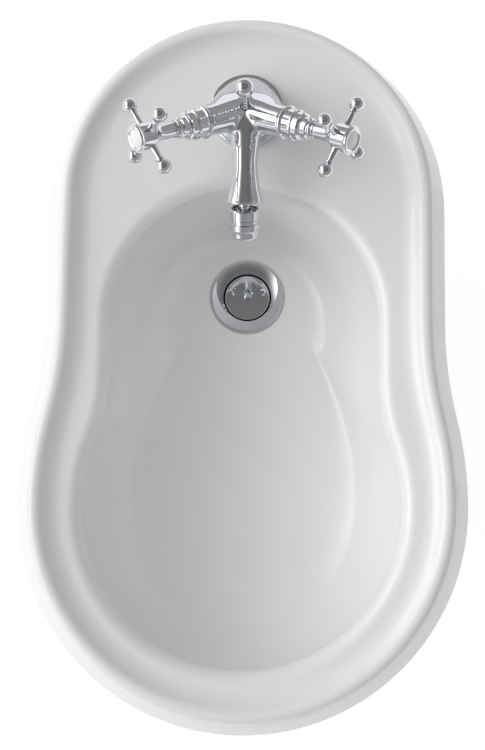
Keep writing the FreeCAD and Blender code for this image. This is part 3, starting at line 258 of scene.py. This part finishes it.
def lapped_alumina():
    # Lapped alumina discs: dense ivory ceramic, even and satin smooth.
    material, tree = blank_material("lapped_alumina")
    place = add(tree, "ShaderNodeTexCoord").outputs["Object"]
    grain = add(tree, "ShaderNodeTexNoise", {"Vector": place, "Scale": 1 / (1.5 * MM), "Detail": 3.0})
    colour = add(tree, "ShaderNodeMix", {
        "Factor": grain.outputs["Fac"], "A": linear("#e6dfd2"), "B": linear("#eee9de")},
        data_type="RGBA")
    rough = add(tree, "ShaderNodeMapRange", {
        "Value": grain.outputs["Fac"], "To Min": 0.2, "To Max": 0.3})
    surface = add(tree, "ShaderNodeBsdfPrincipled", {
        "Base Color": colour.outputs["Result"], "Roughness": rough.outputs["Result"], "IOR": 1.7})
    add(tree, "ShaderNodeOutputMaterial", {"Surface": surface.outputs["BSDF"]})
    return material


chrome = polished_chrome()
finishes = {
    "glazed_china": glazed_china(),
    "chrome": chrome,
    "porcelain": index_porcelain(),
    "raw_brass": machined_brass(),
    "steel": threaded_steel(),
    "rubber": moulded_rubber(),
    "plastic": moulded_plastic(),
    "valve_ceramic": lapped_alumina(),
}


def dress(obj, material):
    obj.data.materials.clear()
    obj.data.materials.append(material)


def soften(obj):
    """Smooth shading that keeps the sharp edges of a solid."""
    obj.data.polygons.foreach_set("use_smooth", [True] * len(obj.data.polygons))
    weld = obj.modifiers.new("weld", "WELD")
    weld.merge_threshold = SAME_CORNER
    split = obj.modifiers.new("edges", "EDGE_SPLIT")
    split.split_angle = SHARP_EDGE


def placed(name, data):
    """Puts a mesh or a camera into the scene."""
    obj = bpy.data.objects.new(name, data)
    bpy.context.scene.collection.objects.link(obj)
    return obj


for name, obj in nodes.items():
    dress(obj, finishes[slot_of[name]])
    soften(obj)
dress(nodes["aerator_mesh"], woven_mesh())


# Tap casting: the solid's own shape with the soft fillets that casting and buffing leave

crossing = Vector(joints["hot_handle_turn"]["pos_m"])
branches = [Vector(joints[name]["axis"]) for name in ("hot_handle_turn", "cold_handle_turn")]
ball_centre = Vector(joints["nozzle_tilt"]["pos_m"])
# Lengths of this section are in millimetres
# The shoulder of a branch runs from its collar and the middle down to the back of the bell's foot
# Balls along it: way from the middle, set back, let down and radius
SHOULDER_BALLS = ((0, 0, 0, 14.0), (8, 10, 8, 12.0), (19, 8, 5, 11.5), (28, 0, 0, 11.9))
FOOT_BACK, FOOT_BELOW, FOOT_RADIUS = 12.0, 26.5, 26.5
# Degrees round the foot, from its back towards the branch
FOOT_ARC = range(-6, 61, 6)
# Ways that stay open: where they begin and end on their axis, and their radius
ROD_FORWARD = 2.0
ROD_WAY, ROD_BORE = (-25.0, 30.0), 4.0
VALVE_WAY, VALVE_BORE = (25.0, 60.0), 9.0
# The fillets fade out away from the middle, and leave out the rod's way, the foot and the valve seats
MIDDLE_FADE = (22, 34)
ROD_FADE = (5, 9)
FOOT_FADE = (-18, -10)
SEAT_BEGIN, SEAT_RADIUS = 18.0, 10.4
VOXEL = 0.7
FILLET_ROUNDS, BUFF_ROUNDS, BUFF_PAIRS = 140, 5, 8
STEP_IN, STEP_OUT = 0.5, -0.52
# Polished beads at the spout's lip and the bell's foot: radius and thickness
LIP_BEAD = (14.1, 0.95)
LIP_TO_BALL, LIP_TILT = 9.7, math.radians(22)
FOOT_BEAD = (26.4, 0.9)
FOOT_BEAD_LEVEL = -27.2


def ramp(value, low, high):
    """Smooth step from 0 at low to 1 at high, both in millimetres."""
    share = min(max((value / MM - low) / (high - low), 0.0), 1.0)
    return share * share * (3 - 2 * share)


def fillet_share(point):
    """How far a point of the casting takes part in the fillets where spout, branches and bell meet."""
    away = point - crossing
    for axis in branches:
        along = away.dot(axis)
        if along > SEAT_BEGIN * MM and (away - axis * along).length < SEAT_RADIUS * MM:
            return 0.0
    middle = 1 - ramp(math.hypot(away.x, away.y), *MIDDLE_FADE)
    rod = ramp(math.hypot(away.x, away.y + ROD_FORWARD * MM), *ROD_FADE)
    return middle * rod * ramp(away.z, *FOOT_FADE)


def shaped_mesh(obj):
    """Applies the modifiers of an object to its mesh."""
    before = obj.data
    mesh = bpy.data.meshes.new_from_object(obj.evaluated_get(bpy.context.evaluated_depsgraph_get()))
    obj.modifiers.clear()
    obj.data = mesh
    bpy.data.meshes.remove(before)
    return mesh


def shoulder(mesh, axis):
    """Adds the sloping shoulder behind a branch, as the hull of what it runs between."""
    points = []
    for along, back, down, radius in SHOULDER_BALLS:
        centre = crossing + axis * (along * MM) + Vector((0, back, -down)) * MM
        ball = bmesh.new()
        bmesh.ops.create_icosphere(
            ball, subdivisions=3, radius=radius * MM, matrix=Matrix.Translation(centre))
        points += [mesh.verts.new(vertex.co) for vertex in ball.verts]
        ball.free()
    side = math.copysign(FOOT_RADIUS, axis.x)
    for turn in FOOT_ARC:
        turn = math.radians(turn)
        reach = Vector((side * math.sin(turn), FOOT_BACK + FOOT_RADIUS * math.cos(turn), -FOOT_BELOW))
        points.append(mesh.verts.new(crossing + reach * MM))
    hull = bmesh.ops.convex_hull(mesh, input=points)
    inner = [part for part in hull["geom_interior"] if isinstance(part, bmesh.types.BMVert)]
    bmesh.ops.delete(mesh, geom=inner, context="VERTS")


def bores():
    """Cutters for the lift rod's way and the two valve seats, which the shoulders would close."""
    mesh = bpy.data.meshes.new("bores")
    rods = bmesh.new()
    ways = [(crossing - Vector((0, ROD_FORWARD * MM, 0)), UP, *ROD_WAY, ROD_BORE)]
    ways += [(crossing, axis, *VALVE_WAY, VALVE_BORE) for axis in branches]
    for start, axis, low, high, radius in ways:
        turn = UP.rotation_difference(axis).to_matrix().to_4x4()
        middle = Matrix.Translation(start + axis * ((low + high) / 2 * MM))
        bmesh.ops.create_cone(rods, cap_ends=True, segments=48, radius1=radius * MM, radius2=radius * MM,
                              depth=(high - low) * MM, matrix=middle @ turn)
    rods.to_mesh(mesh)
    rods.free()
    return placed("bores", mesh)


def casting():
    """A copy of the tap body with full shoulders, its inner corners filled to a soft radius."""
    mesh = bpy.data.meshes.new("tap_casting")
    copy = bmesh.new()
    copy.from_mesh(nodes["tap_body"].data)
    bmesh.ops.remove_doubles(copy, verts=copy.verts, dist=SAME_CORNER)
    for axis in branches:
        shoulder(copy, axis)
    copy.to_mesh(mesh)
    copy.free()
    obj = placed("tap_casting", mesh)
    remesh = obj.modifiers.new("voxels", "REMESH")
    remesh.mode = "VOXEL"
    remesh.voxel_size = VOXEL * MM
    mesh = shaped_mesh(obj)
    group = obj.vertex_groups.new(name="fillets")
    for vertex in mesh.vertices:
        share = fillet_share(vertex.co)
        if share:
            group.add([vertex.index], share, "REPLACE")
    # Long smoothing fills the corners, and a few rounds and pairs of inward and outward steps buff the skin
    passes = [("fillet", STEP_IN, FILLET_ROUNDS, group.name), ("buff", STEP_IN, BUFF_ROUNDS, "")]
    passes += [("buff", STEP_IN, 1, ""), ("buff", STEP_OUT, 1, "")] * BUFF_PAIRS
    for name, factor, rounds, where in passes:
        smooth = obj.modifiers.new(name, "SMOOTH")
        smooth.factor = factor
        smooth.iterations = rounds
        smooth.vertex_group = where
    cutter = bores()
    bored = obj.modifiers.new("bores", "BOOLEAN")
    bored.object = cutter
    mesh = shaped_mesh(obj)
    bpy.data.meshes.remove(cutter.data)
    mesh.name = "tap_casting"
    mesh.polygons.foreach_set("use_smooth", [True] * len(mesh.polygons))
    dress(obj, chrome)
    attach(obj, "stand")
    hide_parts("tap_body")


def bead(name, centre, axis, radius, thickness):
    """The round polished edge of the casting at its lip or foot."""
    mesh = bpy.data.meshes.new(name)
    ring = bmesh.new()
    start = Matrix.Translation((radius * MM, 0, 0)) @ Matrix.Rotation(math.pi / 2, 4, "X")
    bmesh.ops.create_circle(ring, segments=16, radius=thickness * MM, matrix=start)
    bmesh.ops.spin(ring, geom=ring.verts[:] + ring.edges[:], cent=(0, 0, 0), axis=(0, 0, 1),
                   angle=2 * math.pi, steps=120, use_merge=True)
    bmesh.ops.remove_doubles(ring, verts=ring.verts, dist=SAME_CORNER)
    bmesh.ops.recalc_face_normals(ring, faces=ring.faces)
    turn = UP.rotation_difference(axis).to_matrix().to_4x4()
    bmesh.ops.transform(ring, matrix=Matrix.Translation(centre) @ turn, verts=ring.verts)
    ring.to_mesh(mesh)
    ring.free()
    mesh.polygons.foreach_set("use_smooth", [True] * len(mesh.polygons))
    obj = placed(name, mesh)
    dress(obj, chrome)
    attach(obj, "stand")


casting()
lip_way = Vector((0, -math.cos(LIP_TILT), -math.sin(LIP_TILT)))
lip_middle = ball_centre - lip_way * (LIP_TO_BALL * MM)
bead("spout_lip_bead", lip_middle, lip_way, *LIP_BEAD)
foot_middle = crossing + Vector((0, FOOT_BACK, FOOT_BEAD_LEVEL)) * MM
bead("bell_foot_bead", foot_middle, UP, *FOOT_BEAD)


# Studio: pale floor in a soft room, with a wide bank of softboxes low on the left

FLOOR_HALF_WIDTH = 6.0
FLOOR_DROP = 0.2 * MM
FLOOR_GLOW, FLOOR_GLOW_SHARE = 1.12, 0.8
ROOM_LIGHT = 0.40
CEILING_LIGHT, CEILING_FALLOFF = 0.45, 3.0
# Turn from +X and rise in degrees, then strength
SOFTBOXES = ((180, 24, 1.9), (180, 42, 4.2), (150, 22, 3.4), (210, 22, 3.2))
SOFTBOX_FALLOFF = 30.0
# The sine of the rise where the flags begin and where they are full, and the light that passes there
FLAGS_BEGIN, FLAGS_FULL, FLAGS_PASS = 0.5, 0.85, 0.28


def studio_floor():
    material, tree = blank_material("pale_floor")
    rays = add(tree, "ShaderNodeLightPath")
    seen = add(tree, "ShaderNodeMath", {
        0: rays.outputs["Is Camera Ray"], 1: rays.outputs["Is Glossy Ray"]}, operation="MAXIMUM")
    seen = add(tree, "ShaderNodeMath", {
        0: seen.outputs[0], 1: rays.outputs["Is Transmission Ray"]}, operation="MAXIMUM")
    share = add(tree, "ShaderNodeMath", {0: seen.outputs[0], 1: FLOOR_GLOW_SHARE}, operation="MULTIPLY")
    matt = add(tree, "ShaderNodeBsdfDiffuse", {"Color": linear("#f4f4f4")})
    glow = add(tree, "ShaderNodeEmission", {"Color": linear("#ffffff"), "Strength": FLOOR_GLOW})
    mix = add(tree, "ShaderNodeMixShader", {
        0: share.outputs[0], 1: matt.outputs["BSDF"], 2: glow.outputs["Emission"]})
    add(tree, "ShaderNodeOutputMaterial", {"Surface": mix.outputs["Shader"]})
    mesh = bpy.data.meshes.new("floor")
    plane = bmesh.new()
    bmesh.ops.create_grid(plane, x_segments=1, y_segments=1, size=FLOOR_HALF_WIDTH)
    plane.to_mesh(mesh)
    plane.free()
    floor = placed("floor", mesh)
    floor.location.z = -FLOOR_DROP
    dress(floor, material)


def studio_world():
    world = bpy.data.worlds.new("studio")
    bpy.context.scene.world = world
    world.use_nodes = True
    tree = world.node_tree
    tree.nodes.clear()
    way = add(tree, "ShaderNodeTexCoord").outputs["Generated"]
    height = add(tree, "ShaderNodeSeparateXYZ", {"Vector": way}).outputs["Z"]
    over = add(tree, "ShaderNodeMath", {0: height, 1: 0.0}, operation="MAXIMUM")
    dome = add(tree, "ShaderNodeMath", {0: over.outputs[0], 1: CEILING_FALLOFF}, operation="POWER")
    level = add(tree, "ShaderNodeMath", {
        0: dome.outputs[0], 1: CEILING_LIGHT, 2: ROOM_LIGHT}, operation="MULTIPLY_ADD").outputs[0]
    for turn, rise, strength in SOFTBOXES:
        turn, rise = math.radians(turn), math.radians(rise)
        aim = (math.cos(rise) * math.cos(turn), math.cos(rise) * math.sin(turn), math.sin(rise))
        along = add(tree, "ShaderNodeVectorMath", {0: way, 1: aim}, operation="DOT_PRODUCT")
        front = add(tree, "ShaderNodeMath", {0: along.outputs["Value"], 1: 0.0}, operation="MAXIMUM")
        spread = add(tree, "ShaderNodeMath", {
            0: front.outputs[0], 1: SOFTBOX_FALLOFF}, operation="POWER")
        level = add(tree, "ShaderNodeMath", {
            0: spread.outputs[0], 1: strength, 2: level}, operation="MULTIPLY_ADD").outputs[0]
    # Black flags hang over the camera, and the polished metal mirrors them
    rays = add(tree, "ShaderNodeLightPath")
    flags = add(tree, "ShaderNodeMapRange", {
        "Value": height, "From Min": FLAGS_BEGIN, "From Max": FLAGS_FULL,
        "To Min": 1.0, "To Max": FLAGS_PASS})
    dim = add(tree, "ShaderNodeMix", {
        "Factor": rays.outputs["Is Glossy Ray"], "A": 1.0, "B": flags.outputs["Result"]},
        data_type="FLOAT")
    level = add(tree, "ShaderNodeMath", {
        0: level, 1: dim.outputs["Result"]}, operation="MULTIPLY").outputs[0]
    room = add(tree, "ShaderNodeBackground", {"Strength": level})
    white = add(tree, "ShaderNodeBackground", {"Color": linear("#ffffff"), "Strength": 1.0})
    mix = add(tree, "ShaderNodeMixShader", {
        0: rays.outputs["Is Camera Ray"], 1: room.outputs["Background"], 2: white.outputs["Background"]})
    add(tree, "ShaderNodeOutputWorld", {"Surface": mix.outputs["Shader"]})


studio_floor()
studio_world()


# Camera: nearly straight down, a little in front of the middle, as in the photograph

SENSOR_WIDTH, LENS = 36.0, 51.4
EYE = Vector((0.02, -0.1153, 1.2169))
TARGET = Vector((0.0, -0.0138, 0.400))
ROLL = math.radians(0.75)

camera = bpy.data.cameras.new("camera")
camera.sensor_width = SENSOR_WIDTH
camera.lens = LENS
back = (EYE - TARGET).normalized()
above = back.cross(Vector((math.cos(ROLL), math.sin(ROLL), 0.0))).normalized()
across = above.cross(back)
viewer = placed("camera", camera)
viewer.matrix_world = Matrix.Translation(EYE) @ Matrix((across, above, back)).transposed().to_4x4()
bpy.context.scene.camera = viewer

bpy.context.scene.view_settings.view_transform = "Standard"
